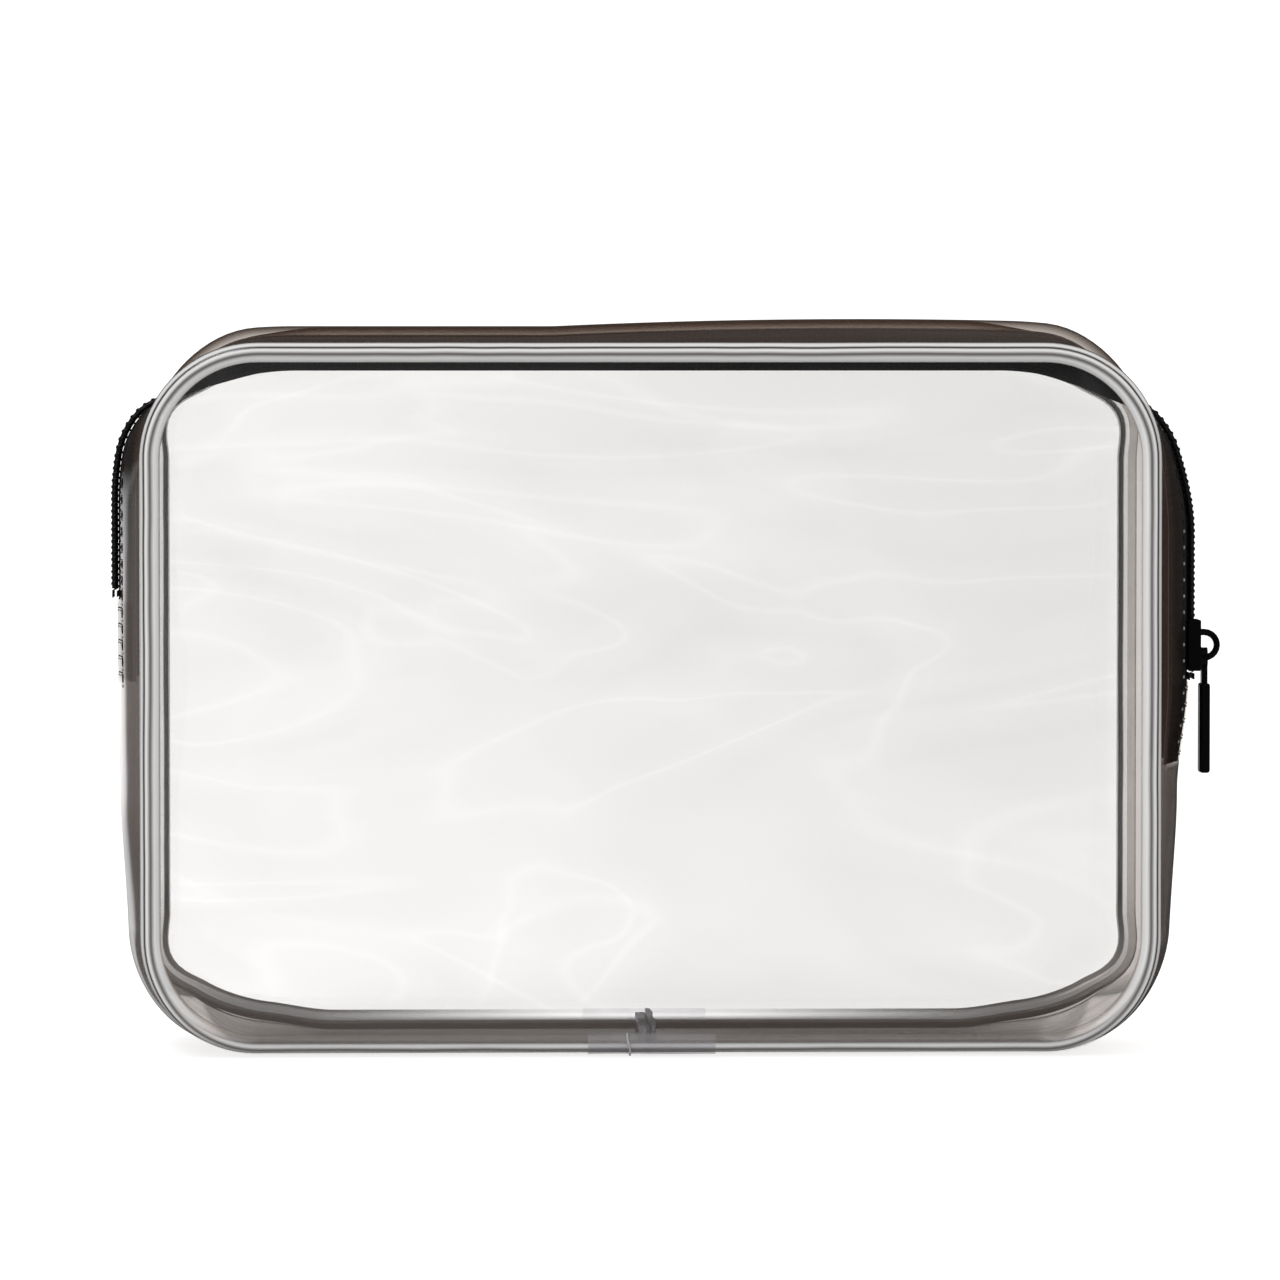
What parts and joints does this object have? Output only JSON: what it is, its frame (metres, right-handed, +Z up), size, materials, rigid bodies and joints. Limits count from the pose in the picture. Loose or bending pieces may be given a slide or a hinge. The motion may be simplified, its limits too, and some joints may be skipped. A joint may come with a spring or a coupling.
{
  "type": "makeup bag",
  "caption": "Clear box-shaped zip pouch for make-up: flat panels, a soft band between them, corded seams and a black coil zip over the top.",
  "frame": {"origin": "on the floor under the middle of the bag, at the middle of the flat base", "axes": "+X to the bag's right seen from the front, +Y to its back, +Z up; the front panel faces -Y"},
  "size_m": [0.2209, 0.0612, 0.145],
  "materials": {
    "clear_panel_sheet": "clear soft PVC sheet, glossy, lightly rippled",
    "clear_wrap": "clear adhesive tape",
    "clear_band_sheet": "clear soft PVC sheet with a grey-brown cast",
    "clear_piping": "clear extruded PVC bead, glossy",
    "black_zip_tape": "black woven polyester tape",
    "black_zip_coil": "black nylon coil, satin",
    "black_thread": "black sewing thread, bar tack",
    "black_metal": "black painted die casting and wire, satin"
  },
  "bodies": {
    "bag": {"back_panel": "clear_panel_sheet", "front_panel_lower": "clear_panel_sheet", "front_piping_wrap": "clear_wrap", "rear_piping_wrap": "clear_wrap", "side_band": "clear_band_sheet", "band_seam_fin": "clear_band_sheet", "rear_piping": "clear_piping", "front_piping_left": "clear_piping", "front_piping_right": "clear_piping", "rear_zip_tape": "black_zip_tape", "front_zip_tape_right_tail": "black_zip_tape", "front_zip_tape_left_tail": "black_zip_tape", "rear_zip_coil": "black_zip_coil", "front_zip_coil_right_tail": "black_zip_coil", "front_zip_coil_left_tail": "black_zip_coil", "left_zip_tack": "black_thread", "right_zip_tack": "black_thread"},
    "mouth_flap": {"front_panel_upper": "clear_panel_sheet", "front_piping_upper": "clear_piping", "front_band_strip": "clear_band_sheet", "front_zip_tape": "black_zip_tape", "front_zip_coil": "black_zip_coil"},
    "slider": {"slider_body": "black_metal", "slider_bridge": "black_metal"},
    "pull": {"pull_tab": "black_metal"}
  },
  "joints": [
    {"name": "mouth_open", "type": "hinge", "parent": "bag", "child": "mouth_flap", "pos_m": [0, -0.03, 0.097], "axis": [1, 0, 0], "range_deg": [0, 35], "stiffness_Nm_per_rad": 0.01},
    {"name": "zip_slide", "type": "slide", "parent": "bag", "child": "slider", "axis": [0, 0, 1], "range_m": [0, 0.012]},
    {"name": "pull_swing", "type": "hinge", "parent": "slider", "child": "pull", "pos_m": [0.11105, 0, 0.0796], "axis": [0, -1, 0], "range_deg": [0, 165]}
  ]
}
